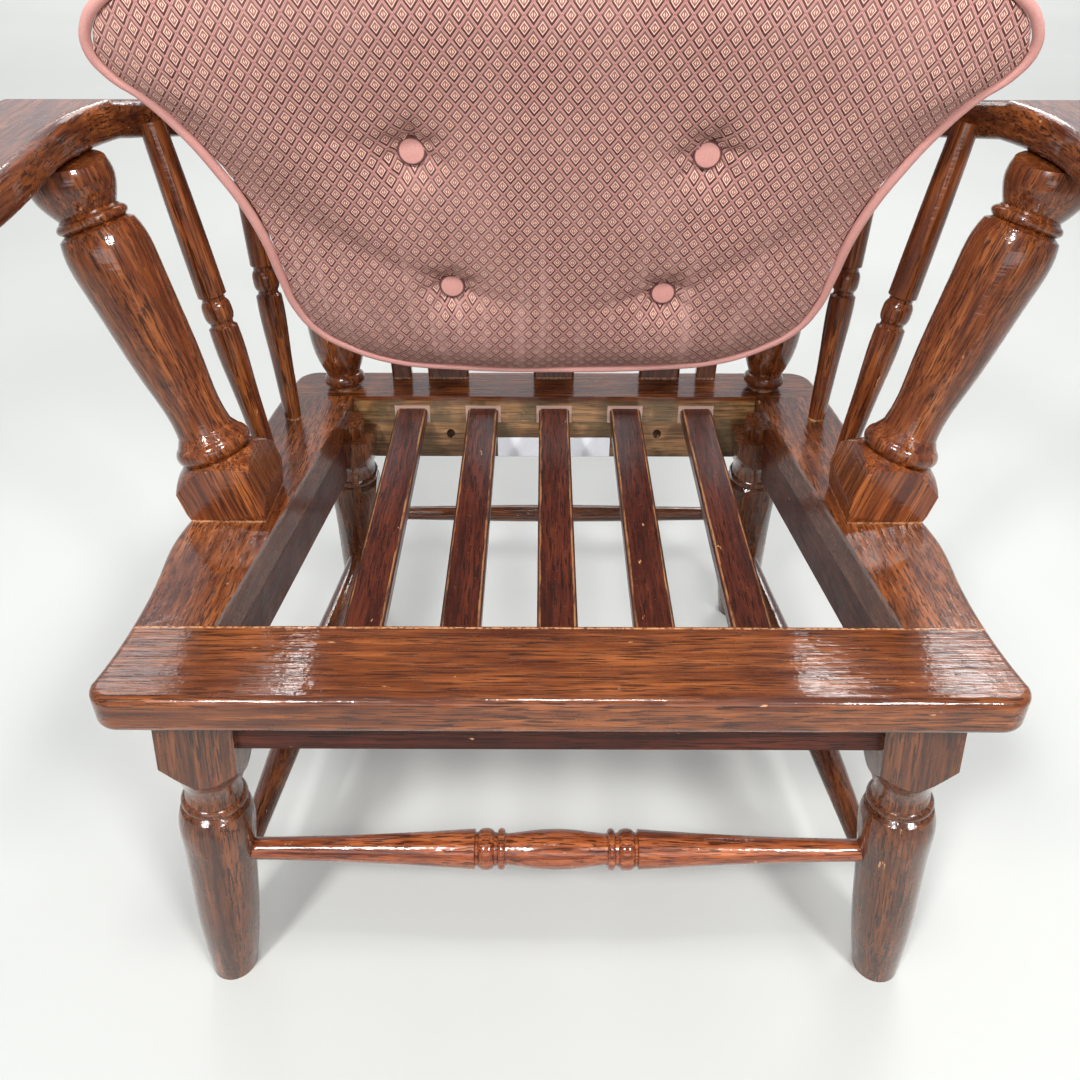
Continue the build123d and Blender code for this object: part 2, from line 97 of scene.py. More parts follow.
class Shader:
    """A node material under construction, or a finished one taken up again."""

    def __init__(self, name, material=None):
        self.material = material or bpy.data.materials.new(name)
        self.material.use_nodes = True
        self.tree = self.material.node_tree
        self.surface = self.tree.nodes["Principled BSDF"]

    def feed(self, socket, value):
        """Links a socket to another socket, or sets it to a plain value."""
        if isinstance(value, bpy.types.NodeSocket):
            self.tree.links.new(value, socket)
        else:
            socket.default_value = value

    def node(self, kind, inputs, **settings):
        made = self.tree.nodes.new("ShaderNode" + kind)
        for name, value in settings.items():
            setattr(made, name, value)
        for name, value in inputs.items():
            self.feed(made.inputs[name], value)
        return made

    def place(self, kind="Object"):
        return self.node("TexCoord", {}).outputs[kind]

    def piece_random(self):
        return self.node("ObjectInfo", {}).outputs["Random"]

    def stretch(self, vector, scale):
        return self.node("Mapping", {"Vector": vector, "Scale": scale}).outputs["Vector"]

    def split(self, vector):
        return self.node("SeparateXYZ", {"Vector": vector}).outputs

    def join(self, x, y, z):
        return self.node("CombineXYZ", {"X": x, "Y": y, "Z": z}).outputs["Vector"]

    def noise(self, vector, scale, detail=2.0, rough=0.5, warp=0.0):
        inputs = {"Vector": vector, "Scale": scale, "Detail": detail, "Roughness": rough}
        inputs["Distortion"] = warp
        return self.node("TexNoise", inputs).outputs["Fac"]

    def waves(self, vector, scale, direction):
        made = self.node("TexWave", {"Vector": vector, "Scale": scale}, bands_direction=direction)
        return made.outputs["Fac"]

    def math(self, operation, a, b=0.0, c=0.0):
        made = self.node("Math", {}, operation=operation)
        for socket, value in zip(made.inputs, (a, b, c)):
            self.feed(socket, value)
        return made.outputs["Value"]

    def vectors(self, operation, a, b):
        return self.node("VectorMath", {0: a, 1: b}, operation=operation).outputs["Vector"]

    def fade(self, value, low, high, start=0.0, end=1.0):
        """A smooth step from start to end as value goes from low to high."""
        inputs = {"Value": value, "From Min": low, "From Max": high, "To Min": start, "To Max": end}
        return self.node("MapRange", inputs, interpolation_type="SMOOTHSTEP").outputs["Result"]

    def mix(self, share, a, b):
        """Colour a where share is 0, colour b where it is 1."""
        made = self.node("Mix", {}, data_type="RGBA")
        factor, *_ = made.inputs
        first, second = (socket for socket in made.inputs if socket.type == "RGBA")
        self.feed(factor, share)
        self.feed(first, a)
        self.feed(second, b)
        return next(socket for socket in made.outputs if socket.type == "RGBA")

    def bump(self, height, distance, strength):
        inputs = {"Height": height, "Distance": distance, "Strength": strength}
        return self.node("Bump", inputs).outputs["Normal"]

    def finish(self, **sockets):
        """Sets the surface's sockets, an underscore standing for a space."""
        for name, value in sockets.items():
            self.feed(self.surface.inputs[name.replace("_", " ")], value)
        return self.material


# how far the wood's figure is drawn out along each axis
GRAIN_AXES = {"x": (0.05, 1, 1), "y": (1, 0.05, 1), "z": (1, 1, 0.05)}
SEAT_FALL = math.tan(math.radians(4.6))   # the seat boards' slope to the rear
SEAT_HEIGHT = 0.340                       # their top at the front edge
RAIL_DEPTH = 0.072                        # front edge to the side rails' joint
REAR_RAIL_AT = 0.448                      # front edge to the rear rail's front face
SLAT_PITCH = 0.0733                       # slat to slat


def leaning_place(sh, lean):
    """Coordinates that stay the same along a piece leaning out and back by lean."""
    x, y, z = sh.split(sh.place())
    out = sh.math("MULTIPLY_ADD", z, -lean[0], sh.math("ABSOLUTE", x))
    back = sh.math("MULTIPLY_ADD", z, -lean[1], y)
    return sh.join(out, back, z)


def oak_grain(sh, along, lean=None):
    """The parts of an oak figure, each 0 to 1, running along one axis."""
    here = leaning_place(sh, lean) if lean else sh.place()
    shift = sh.math("MULTIPLY", sh.piece_random(), 7.0)
    own = sh.vectors("ADD", here, sh.join(shift, shift, shift))
    drawn = sh.stretch(own, scale=GRAIN_AXES[along])
    return {
        "own": own,
        "sway": sh.noise(drawn, 9.0, 2.0, 0.5),
        "bands": sh.noise(drawn, 85.0, 2.0, 0.5, warp=0.4),
        "streaks": sh.noise(drawn, 260.0, 3.0, 0.6, warp=0.2),
        "fibres": sh.noise(drawn, 900.0, 2.0, 0.6),
        "pores": sh.noise(drawn, 760.0, 1.0, 0.5, warp=0.2),
        "blotch": sh.noise(own, 11.0, 3.0, 0.55),
    }


def seat_depth(sh):
    """How far a point lies below the seat boards' top plane."""
    _, y, z = sh.split(sh.place())
    plane = sh.math("MULTIPLY_ADD", y, -SEAT_FALL, SEAT_HEIGHT + SEAT_FRONT * SEAT_FALL)
    return sh.math("SUBTRACT", plane, z)


def pale_marks(sh, grain, along):
    """Glue lines, bare tenon shoulders and small chips in the varnish."""
    depth = seat_depth(sh)
    _, y, _ = sh.split(sh.place())
    ragged = sh.noise(grain["own"], 320.0, 3.0, 0.7)
    drawn = [0.35 if share < 1 else 1 for share in GRAIN_AXES[along]]
    chips = sh.noise(sh.stretch(grain["own"], scale=drawn), 95.0, 4.0, 0.72)
    chips = sh.fade(chips, 0.690, 0.712, 0.0, 0.75)
    if along == "z":
        above = sh.math("ABSOLUTE", sh.math("ADD", depth, 0.0008))
        shoulder = sh.fade(above, 0.0012, 0.0018, 1.0, 0.0)
        line = sh.math("MULTIPLY", shoulder, sh.fade(ragged, 0.40, 0.60, 0.15, 0.9))
    elif along == "x":
        joint = sh.math("COMPARE", y, SEAT_FRONT + RAIL_DEPTH, 0.0009)
        line = sh.math("MULTIPLY", joint, sh.fade(ragged, 0.42, 0.55, 0.1, 0.8))
    else:
        return chips
    return sh.math("MAXIMUM", line, chips)


def oak_colour(sh, g, light, middle, dark, pore):
    """Stained oak: soft bands, dark open pores and uneven stain."""
    tone = sh.math("MULTIPLY_ADD", g["streaks"], 0.60, sh.math("MULTIPLY", g["bands"], 0.40))
    tone = sh.math("MULTIPLY_ADD", sh.math("SUBTRACT", g["blotch"], 0.5), 0.25, tone)
    colour = sh.mix(sh.fade(tone, 0.33, 0.50), paint(dark), paint(middle))
    colour = sh.mix(sh.fade(tone, 0.46, 0.66), colour, paint(light))
    colour = sh.mix(sh.fade(g["fibres"], 0.50, 0.72, 0.0, 0.35), colour, paint(dark))
    open_pores = sh.fade(g["pores"], 0.53, 0.60)
    porous = sh.fade(g["bands"], 0.34, 0.56, 0.45, 1.0)
    pits = sh.math("MULTIPLY", open_pores, porous)
    colour = sh.mix(sh.math("MULTIPLY", pits, 0.80), colour, paint(pore))
    grime = sh.fade(sh.noise(g["own"], 13.0, 4.0, 0.6), 0.50, 0.75, 0.0, 0.35)
    return sh.mix(grime, colour, paint(dark)), pits


# stains of the wood: its light, middle and dark bands and its open pores
WARM = ("98562b", "6d3819", "471e0e", "260f06")
GOLDEN = ("a05a2a", "743a19", "4a200e", "2a1006")
BRIGHT = ("bb6a3c", "8f4724", "4a1c0d", "260d06")
DEEP = ("7e4625", "5a3018", "3a190c", "200c06")
DARK = ("5e2a1a", "451c11", "2c100a", "1a0805")


def varnished_oak(name, along, tones=WARM, gloss=0.2, coat=0.8, lean=None, turned=False):
    """Stained oak under thick, hand-brushed gloss varnish."""
    sh = Shader(name)
    g = oak_grain(sh, along, lean)
    colour, pits = oak_colour(sh, g, *tones)
    marks = pale_marks(sh, g, along)
    colour = sh.mix(marks, colour, paint("d29a6c"))
    rough = sh.fade(sh.noise(g["own"], 30.0, 4.0, 0.6), 0.3, 0.8, gloss, gloss + 0.16)
    ripple = sh.math("MULTIPLY", g["streaks"], 0.35)
    ripple = sh.math("MULTIPLY_ADD", g["sway"], 0.65, ripple)
    orange_peel = sh.noise(g["own"], 130.0, 2.0, 0.5)
    ripple = sh.math("MULTIPLY_ADD", orange_peel, 0.22, ripple)
    if turned:
        lathe = sh.noise(sh.stretch(sh.place(), scale=(0.05, 0.05, 1)), 320.0, 2.0, 0.5)
        ripple = sh.math("MULTIPLY_ADD", lathe, 0.30, ripple)
    normal = sh.bump(pits, 0.0006, 0.5)
    film = sh.bump(ripple, 0.0024, 0.34)
    return sh.finish(
        Base_Color=colour,
        Roughness=rough,
        Normal=normal,
        Specular_IOR_Level=0.2,
        Coat_Weight=coat,
        Coat_Roughness=0.04 if coat > 0.5 else 0.22,
        Coat_Normal=film,
        Coat_IOR=1.5,
    )


def extend(material):
    """The shader builder of a finished material, and its colour so far."""
    sh = Shader(material.name, material)
    return sh, sh.surface.inputs["Base Color"].links[0].from_socket


def side_rail_oak():
    """Varnished oak, darker and with little varnish on the boards' edges."""
    sh, base = extend(varnished_oak("side_rail_oak", "y"))
    edge = sh.fade(seat_depth(sh), 0.002, 0.006)
    colour = sh.mix(sh.math("MULTIPLY", edge, 0.6), base, paint(DARK[1]))
    coat = sh.math("MULTIPLY_ADD", edge, -0.72, 0.8)
    return sh.finish(Base_Color=colour, Coat_Weight=coat)


def worn_slat_oak():
    """Darker oak of the slats, rubbed pale along both long edges."""
    sh, base = extend(varnished_oak("worn_slat_oak", "y", DARK, gloss=0.34, coat=0.4))
    across = sh.split(sh.place("Generated"))[0]
    edge = sh.math("ABSOLUTE", sh.math("SUBTRACT", across, 0.5))
    ragged = sh.noise(sh.stretch(sh.place(), scale=(1, 0.12, 1)), 260.0, 3.0, 0.7)
    edge = sh.math("MULTIPLY_ADD", sh.math("SUBTRACT", ragged, 0.5), 0.07, edge)
    wear = sh.math("MULTIPLY", sh.fade(edge, 0.405, 0.425), sh.fade(edge, 0.45, 0.465, 1.0, 0.0))
    wear = sh.math("MULTIPLY", wear, sh.fade(ragged, 0.38, 0.58, 0.10, 0.75))
    dust = sh.fade(sh.noise(sh.place(), 420.0, 3.0, 0.75), 0.60, 0.70, 0.0, 0.35)
    colour = sh.mix(dust, base, paint("9a5a48"))
    colour = sh.mix(wear, colour, paint("c08a58"))
    return sh.finish(Base_Color=colour)


def bare_colour(sh, g):
    """Unstained oak, blotched with dark greenish-brown patches."""
    tone = sh.math("MULTIPLY_ADD", g["streaks"], 0.6, sh.math("MULTIPLY", g["bands"], 0.4))
    colour = sh.mix(sh.fade(tone, 0.38, 0.62), paint("5f4128"), paint("99714a"))
    # dark greenish-brown patches scattered at random over the bare wood
    stain = sh.fade(sh.noise(g["own"], 26.0, 3.0, 0.55), 0.44, 0.60)
    colour = sh.mix(sh.math("MULTIPLY", stain, 0.7), colour, paint("463a22"))
    spots = sh.fade(g["pores"], 0.555, 0.60, 0.0, 0.5)
    return sh.mix(spots, colour, paint("3c2616"))


def bare_oak():
    """Bare oak of the rear apron, which only shows between the slats, with painted shade on its lowest
    part.
    """
    sh = Shader("bare_oak")
    g = oak_grain(sh, "x")
    colour = bare_colour(sh, g)
    # painted shade: the apron's lowest part, 60 to 70 mm under the seat top, darkened towards a deep
    # brown
    low = sh.fade(seat_depth(sh), 0.060, 0.070, 0.0, 0.55)
    colour = sh.mix(low, colour, paint("3a2414"))
    normal = sh.bump(g["fibres"], 0.0008, 0.4)
    return sh.finish(Base_Color=colour, Roughness=0.6, Normal=normal)


def rear_rail_oak():
    """Varnished oak whose front face was left bare round the slat housings."""
    sh, base = extend(varnished_oak("rear_rail_oak", "x", gloss=0.12))
    x, y, _ = sh.split(sh.place())
    depth = seat_depth(sh)
    face = SEAT_FRONT + REAR_RAIL_AT
    front = sh.fade(y, face + 0.0004, face + 0.0012, 1.0, 0.0)
    under = sh.fade(depth, 0.0035, 0.0060)
    g = oak_grain(sh, "x")
    colour = sh.mix(sh.math("MULTIPLY", front, under), base, bare_colour(sh, g))
    from_slat = sh.math("PINGPONG", sh.math("ABSOLUTE", x), SLAT_PITCH / 2)
    beyond = sh.math("COMPARE", sh.math("ABSOLUTE", x), 0.0, SLAT_PITCH * 2.5)
    near = sh.math("MULTIPLY", sh.fade(from_slat, 0.0178, 0.0184, 1.0, 0.0), beyond)
    rim = sh.math("MULTIPLY", near, sh.fade(depth, 0.0098, 0.0104))
    rim = sh.math("MULTIPLY", rim, front)
    colour = sh.mix(sh.math("MULTIPLY", rim, 0.85), colour, paint("b7978a"))
    return sh.finish(Base_Color=colour)


def label_paper():
    """Slightly creased white paper with nothing printed on it."""
    sh = Shader("label_paper")
    cloud = sh.noise(sh.place(), 60.0, 3.0, 0.5)
    colour = sh.mix(cloud, paint("dfe1ea"), paint("f1f2f7"))
    normal = sh.bump(sh.noise(sh.place(), 120.0, 2.0, 0.5), 0.0006, 0.3)
    return sh.finish(Base_Color=colour, Roughness=0.5, Normal=normal)


LATTICE = (0.0119, 0.0161)   # width and height of one diamond of the trellis


def trellis(sh, uv):
    """Square rings round each lattice point: (distance from it, its two arms)."""
    u, v, _ = sh.split(uv)
    wide = sh.math("DIVIDE", u, LATTICE[0])
    high = sh.math("DIVIDE", v, LATTICE[1])
    rise = sh.math("SUBTRACT", sh.math("FRACT", sh.math("ADD", wide, high)), 0.5)
    fall = sh.math("SUBTRACT", sh.math("FRACT", sh.math("SUBTRACT", wide, high)), 0.5)
    ring = sh.math("MAXIMUM", sh.math("ABSOLUTE", rise), sh.math("ABSOLUTE", fall))
    return ring, rise, fall


def between(sh, value, low, high, soft=0.012):
    """1 where value lies between low and high, with soft sides."""
    above = sh.fade(value, low - soft, low + soft)
    under = sh.fade(value, high - soft, high + soft, 1.0, 0.0)
    return sh.math("MULTIPLY", above, under)


def cushion_fabric():
    """Dusty pink upholstery cloth woven with a maroon and cream trellis."""
    sh = Shader("cushion_fabric")
    uv = sh.place("UV")
    wander = sh.node("TexNoise", {"Vector": uv, "Scale": 60.0, "Detail": 2.0}).outputs["Color"]
    wander = sh.vectors("SUBTRACT", wander, (0.5, 0.5, 0.5))
    uv = sh.vectors("ADD", uv, sh.vectors("MULTIPLY", wander, (0.0012, 0.0012, 0.0012)))
    ring, rise, fall = trellis(sh, uv)
    ground = sh.mix(sh.noise(uv, 18.0, 4.0, 0.6), paint("cb8f86"), paint("dcaaa0"))
    colour = ground

    outline = between(sh, ring, 0.275, 0.425)
    # painted shade: the maroon outline is darker on each diamond's lower sides, as if shadowed by the
    # woven relief
    below = sh.math("SUBTRACT", fall, rise)
    outline_lower_shade = sh.fade(below, -0.25, 0.20, 0.75, 1.0)
    colour = sh.mix(sh.math("MULTIPLY", outline, outline_lower_shade), colour, paint("3c0d10"))
    cream = between(sh, ring, 0.200, 0.275)
    colour = sh.mix(sh.math("MULTIPLY", cream, 0.85), colour, paint("f0c8b4"))
    inner = between(sh, ring, 0.130, 0.205)
    colour = sh.mix(sh.math("MULTIPLY", inner, 0.85), colour, paint("762a29"))
    core = sh.fade(ring, 0.11, 0.14, 1.0, 0.0)
    colour = sh.mix(core, colour, paint("efc3ae"))
    upright = sh.fade(sh.math("ABSOLUTE", sh.math("ADD", rise, fall)), 0.03, 0.06, 1.0, 0.0)
    colour = sh.mix(sh.math("MULTIPLY", core, upright), colour, paint("5e2423"))
    central = sh.fade(sh.math("ABSOLUTE", below), 0.0, 0.25, 1.0, 0.0)
    crossing = sh.math("MULTIPLY", sh.fade(ring, 0.435, 0.47), central)
    colour = sh.mix(sh.math("MULTIPLY", crossing, 0.55), colour, paint("7a3431"))
    seam = sh.fade(ring, 0.455, 0.48, 0.0, 0.60)
    colour = sh.mix(seam, colour, paint("8a4642"))

    _, up, _ = sh.split(uv)
    # painted highlight: paler vertical streaks low on the front panel, for light on its soft folds and
    # nap
    fold_streak_noise = sh.noise(sh.stretch(uv, scale=(1, 0.05, 1)), 75.0, 2.0, 0.5)
    pale = sh.math("MULTIPLY", sh.fade(fold_streak_noise, 0.52, 0.66), sh.fade(up, 0.08, 0.26, 0.30, 0.0))
    colour = sh.mix(pale, colour, paint("d8aca2"))

    rub = sh.fade(sh.noise(sh.stretch(uv, scale=(1, 0.22, 1)), 15.0, 3.0, 0.55), 0.45, 0.75, 0.0, 0.20)
    colour = sh.mix(rub, colour, paint("d6a69b"))
    soil = sh.fade(sh.noise(uv, 7.0, 3.0, 0.6), 0.45, 0.75, 0.0, 0.22)
    colour = sh.mix(soil, colour, paint("97706a"))

    weft = sh.waves(uv, 900.0, direction="Y")
    warp = sh.waves(uv, 900.0, direction="X")
    weave = sh.math("MULTIPLY", weft, warp)
    colour = sh.mix(sh.math("MULTIPLY", weave, 0.16), colour, paint("f4d8cc"))
    relief = sh.math("ADD", sh.math("MULTIPLY", weave, 0.3), sh.math("MULTIPLY", cream, 0.7))
    relief = sh.math("SUBTRACT", relief, sh.math("MULTIPLY", outline, 0.8))
    normal = sh.bump(relief, 0.0007, 0.5)
    return sh.finish(
        Base_Color=colour,
        Roughness=0.86,
        Normal=normal,
        Sheen_Weight=0.12,
        Sheen_Roughness=0.45,
        Sheen_Tint=paint("f3d5cc"),
        Specular_IOR_Level=0.25,
    )


def plain_fabric(name, painted_rim_shadow=False):
    """The plain pink cloth of the piping and, with a shaded rim, the buttons."""
    sh = Shader(name)
    here = sh.place()
    base = sh.mix(sh.noise(here, 25.0, 4.0, 0.6), paint("c98e86"), paint("d9a69d"))
    threads = sh.noise(here, 1500.0, 2.0, 0.6)
    colour = sh.mix(sh.fade(threads, 0.40, 0.65, 0.0, 0.35), base, paint("b5766e"))
    if painted_rim_shadow:
        # painted shadow: a dark ring on each button's rim, for the shadow in the crease round it
        rim = sh.fade(sh.split(sh.place("UV"))[0], 0.78, 0.87, 0.0, 0.85)
        colour = sh.mix(rim, colour, paint("4a2020"))
    normal = sh.bump(threads, 0.0006, 0.5)
    return sh.finish(
        Base_Color=colour,
        Roughness=0.85,
        Normal=normal,
        Sheen_Weight=0.15,
        Sheen_Roughness=0.4,
        Specular_IOR_Level=0.25,
    )


def floor_paint():
    """Pale, slightly clouded studio floor."""
    sh = Shader("studio_floor")
    cloud = sh.noise(sh.place(), 1.5, 4.0, 0.5)
    colour = sh.mix(cloud, paint("b9bab6"), paint("c6c7c3"))
    return sh.finish(Base_Color=colour, Roughness=0.55)


def give(node_names, material):
    """The frame's own nodes take this material."""
    for name in node_names:
        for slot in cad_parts[name].material_slots:
            slot.material = material


def both(*names):
    """The left and the right node of each name."""
    return [f"{side}_{name}" for side in ("left", "right") for name in names]


# how far each turned piece leans out and back for each metre of height
LEANS = {
    "front_leg": (-0.086, 0.11),
    "rear_leg": (-0.05, -0.11),
    "arm_post": (0.34, 0.17),
    "front_spindle": (0.17, 0.11),
    "rear_spindle": (0.06, 0.15),
    "back_post": (0.075, 0.16),
}


def dress_wood():
    """Every wooden node takes its own oak, with the grain along the piece."""
    give(["front_rail", "crest_rail"], varnished_oak("oak_along_x", "x"))
    give(["front_stretcher"], varnished_oak("bright_oak_along_x", "x", BRIGHT))
    give(["rear_stretcher"], varnished_oak("turned_oak_along_x", "x", DEEP))
    give(both("arm"), varnished_oak("oak_along_y", "y"))
    give(both("side_rail"), side_rail_oak())
    give(both("stretcher"), varnished_oak("turned_oak_along_y", "y", DEEP))
    for name, lean in LEANS.items():
        tones = DEEP if name.endswith("leg") else GOLDEN
        give(both(name), varnished_oak(f"turned_oak_{name}", "z", tones, lean=lean, turned=True))
    splats = both("wide_back_splat", "narrow_back_splat") + ["centre_back_splat"]
    give(splats, varnished_oak("oak_along_z", "z", lean=LEANS["back_post"]))
    give(["front_apron"], varnished_oak("dark_oak_along_x", "x", DARK, gloss=0.4, coat=0.08))
    give(both("apron"), varnished_oak("dark_oak_along_y", "y", DARK, gloss=0.4, coat=0.08))
    give(["rear_rail"], rear_rail_oak())
    give(["rear_apron"], bare_oak())
    give([f"seat_slat_{n}" for n in range(1, 6)], worn_slat_oak())
    give(["blank_label"], label_paper())


# ---- the cushion ---------------------------------------------------------------
def outline_points(grow):
    """The seam's points in panel coordinates, moved outwards by grow."""
    right = [Vector(p) for p in CUSHION_SIDE]
    ring = right + [Vector((-x, y)) for x, y in reversed(CUSHION_SIDE[1:-1])]
    moved = []
    for i, here in enumerate(ring):
        way = (ring[(i + 1) % len(ring)] - ring[i - 1]).normalized()
        moved.append(here + Vector((way.y, -way.x)) * grow)
    return moved


def seam_curve(name, depth, grow):
    """A closed smooth curve along a seam, depth behind the front panel."""
    data = bpy.data.curves.new(name, "CURVE")
    data.dimensions = "3D"
    data.resolution_u = 10
    spline = data.splines.new("BEZIER")
    points = outline_points(grow)
    spline.bezier_points.add(len(points) - 1)
    for place, knot in zip(points, spline.bezier_points):
        knot.co = PANEL @ Vector((place.x, place.y, -depth))
        knot.handle_left_type = "AUTO"
        knot.handle_right_type = "AUTO"
    spline.use_cyclic_u = True
    return bpy.data.objects.new(name, data)


def curve_path(curve):
    """The points of a closed curve, read from its own line."""
    mesh = bpy.data.meshes.new_from_object(curve)
    return [v.co.copy() for v in mesh.vertices]


def add_object(name, mesh, *materials):
    """A new object of the scene."""
    piece = bpy.data.objects.new(name, mesh)
    bpy.context.scene.collection.objects.link(piece)
    for material in materials:
        mesh.materials.append(material)
    return piece


def seam_tree():
    """A lookup tree for the distance to the two seams."""
    lines = []
    for depth in (0.0, CUSHION_THICK):
        lines += curve_path(seam_curve("seam", depth, 0.0))
    tree = kdtree.KDTree(len(lines))
    for i, point in enumerate(lines):
        tree.insert(point, i)
    tree.balance()
    return tree


def stuffed_body():
    """The cushion's cover, remeshed from its plain solid."""
    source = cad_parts["back_cushion"]
    mesh = source.data.copy()
    body = add_object("stuffed_back_cushion", mesh)
    bpy.context.view_layer.objects.active = body
    body.select_set(True)
    middle = PANEL @ Vector((0, 0.21, -CUSHION_THICK / 2))
    for vertex in mesh.vertices:
        vertex.co = middle + (vertex.co - middle) * 0.997
    remesh = body.modifiers.new("remesh", "REMESH")
    remesh.mode = "VOXEL"
    remesh.voxel_size = 0.005
    bpy.ops.object.modifier_apply(modifier=remesh.name)
    return body


SEAM_HOLD = 0.016      # the seam's hold on the cloth fades out over this
BUTTON_HOLD = 0.012    # the cloth is held fast within this of a button
TUFT_REACH = 0.022
TUFT_DEPTH = 0.013


def pin_seams(body, tree):
    """Holds the cloth where it is sewn to the piping and under the buttons."""
    group = body.vertex_groups.new(name="sewn")
    inverse = PANEL.inverted()
    for vertex in body.data.vertices:
        _, _, distance = tree.find(vertex.co)
        hold = max(0.0, 1.0 - distance / SEAM_HOLD)
        local = inverse @ vertex.co
        for x, y in BUTTONS.values():
            if math.hypot(local.x - x, local.y - y) < BUTTON_HOLD:
                hold = 1.0
        if hold > 0.02:
            group.add([vertex.index], hold, "REPLACE")


def tuft(body):
    """Draws the cloth in under the buttons before it is blown up."""
    inverse = PANEL.inverted()
    for vertex in body.data.vertices:
        local = inverse @ vertex.co
        away = [math.hypot(local.x - x, local.y - y) for x, y in BUTTONS.values()]
        pull = sum(math.exp(-((distance / TUFT_REACH) ** 2)) for distance in away)
        side = 1.0 if local.z > -CUSHION_THICK / 2 else -0.6
        local.z -= side * TUFT_DEPTH * pull
        vertex.co = PANEL @ local


def blow_up(body, limit=0.022):
    """Short cloth simulation under pressure, kept within a limit."""
    start = [v.co.copy() for v in body.data.vertices]
    cloth = body.modifiers.new("cloth", "CLOTH")
    settings = cloth.settings
    settings.quality = 5
    settings.mass = 0.25
    settings.tension_stiffness = 12
    settings.compression_stiffness = 12
    settings.bending_stiffness = 0.6
    settings.use_pressure = True
    settings.uniform_pressure_force = 4.0
    settings.vertex_group_mass = "sewn"
    settings.effector_weights.gravity = 0.0
    cloth.collision_settings.use_collision = False
    for number in range(1, 21):
        bpy.context.scene.frame_set(number)
    evaluated = body.evaluated_get(bpy.context.evaluated_depsgraph_get())
    puffed = [v.co.copy() for v in evaluated.data.vertices]
    body.modifiers.remove(cloth)
    for vertex, before, after in zip(body.data.vertices, start, puffed):
        way = after - before
        if way.length > limit:
            way *= limit / way.length
        vertex.co = before + way
    bpy.context.scene.frame_set(1)


def valley(local, start, end, width, depth):
    """Depth of a soft fold that runs from start to end on the panel."""
    a, b = Vector(start), Vector(end)
    p = Vector((local.x, local.y))
    share = max(0.0, min(1.0, (p - a).dot(b - a) / (b - a).length_squared))
    away = (p - (a + (b - a) * share)).length
    taper = math.sin(math.pi * (0.12 + 0.76 * share))
    return depth * taper * math.exp(-((away / width) ** 2))


# folds of the front panel: start, end, width and depth
FOLDS = (
    ((-0.108, 0.240), (-0.088, 0.112), 0.016, 0.0020),
    ((0.109, 0.237), (0.090, 0.105), 0.016, 0.0020),
    ((-0.108, 0.240), (-0.104, 0.272), 0.006, 0.0030),
    ((0.109, 0.237), (0.116, 0.270), 0.006, 0.0030),
    ((-0.108, 0.240), (-0.175, 0.262), 0.008, 0.0020),
    ((0.109, 0.237), (0.170, 0.250), 0.008, 0.0018),
    ((-0.088, 0.112), (-0.190, 0.175), 0.014, 0.0035),
    ((0.090, 0.105), (0.190, 0.170), 0.014, 0.0030),
    ((-0.088, 0.112), (-0.020, 0.100), 0.010, 0.0020),
    ((0.090, 0.105), (0.020, 0.098), 0.010, 0.0020),
    ((-0.150, 0.110), (-0.112, 0.030), 0.007, 0.0022),
    ((-0.172, 0.120), (-0.140, 0.034), 0.007, 0.0022),
    ((-0.120, 0.095), (-0.090, 0.026), 0.006, 0.0018),
    ((0.150, 0.105), (0.120, 0.030), 0.008, 0.0018),
    ((0.060, 0.100), (0.058, 0.026), 0.008, 0.0012),
    ((0.000, 0.200), (0.004, 0.030), 0.014, 0.0012),
    ((-0.250, 0.235), (-0.150, 0.100), 0.034, 0.0085),
    ((0.250, 0.230), (0.160, 0.100), 0.034, 0.0060),
)


def crease(body):
    """Pulled folds round the buttons and across the lower panel."""
    inverse = PANEL.inverted()
    out = PANEL.to_3x3() @ Vector((0, 0, 1))
    for vertex in body.data.vertices:
        local = inverse @ vertex.co
        if local.z < -CUSHION_THICK * 0.25:
            continue
        sink = sum(valley(local, *fold) for fold in FOLDS)
        for x, y in BUTTONS.values():
            away = math.hypot(local.x - x, local.y - y)
            if away < 0.05:
                turn = math.atan2(local.y - y, local.x - x)
                pleat = 0.5 + 0.5 * math.cos(7 * turn + 40 * x)
                sink += 0.0022 * pleat * math.exp(-(((away - 0.018) / 0.010) ** 2))
                sink += 0.0020 * math.exp(-(((away - 0.0125) / 0.0030) ** 2))
        vertex.co -= out * sink


def unwrap(body):
    """Cloth coordinates in metres: straight on the panels, round on the border."""
    mesh = body.data
    layer = mesh.uv_layers.new(name="cloth")
    inverse = PANEL.inverted()
    turn = inverse.to_3x3()
    for face in mesh.polygons:
        facing = turn @ face.normal
        flat = abs(facing.z) > 0.45
        for corner in face.loop_indices:
            local = inverse @ mesh.vertices[mesh.loops[corner].vertex_index].co
            if flat:
                layer.data[corner].uv = (local.x, local.y * 1.02)
            elif abs(facing.x) > abs(facing.y):
                layer.data[corner].uv = (local.y, local.z)
            else:
                layer.data[corner].uv = (local.x, local.z)


def make_cushion(fabric):
    """The stuffed, buttoned cushion as one soft piece."""
    body = stuffed_body()
    tree = seam_tree()
    tuft(body)
    pin_seams(body, tree)
    blow_up(body)
    smooth = body.modifiers.new("smooth", "SUBSURF")
    smooth.levels = 1
    bpy.ops.object.modifier_apply(modifier=smooth.name)
    crease(body)
    unwrap(body)
    body.vertex_groups.clear()
    body.data.materials.clear()
    body.data.materials.append(fabric)
    body.data.polygons.foreach_set("use_smooth", [True] * len(body.data.polygons))
    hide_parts("back_cushion")
    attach(body, "root")
    return body


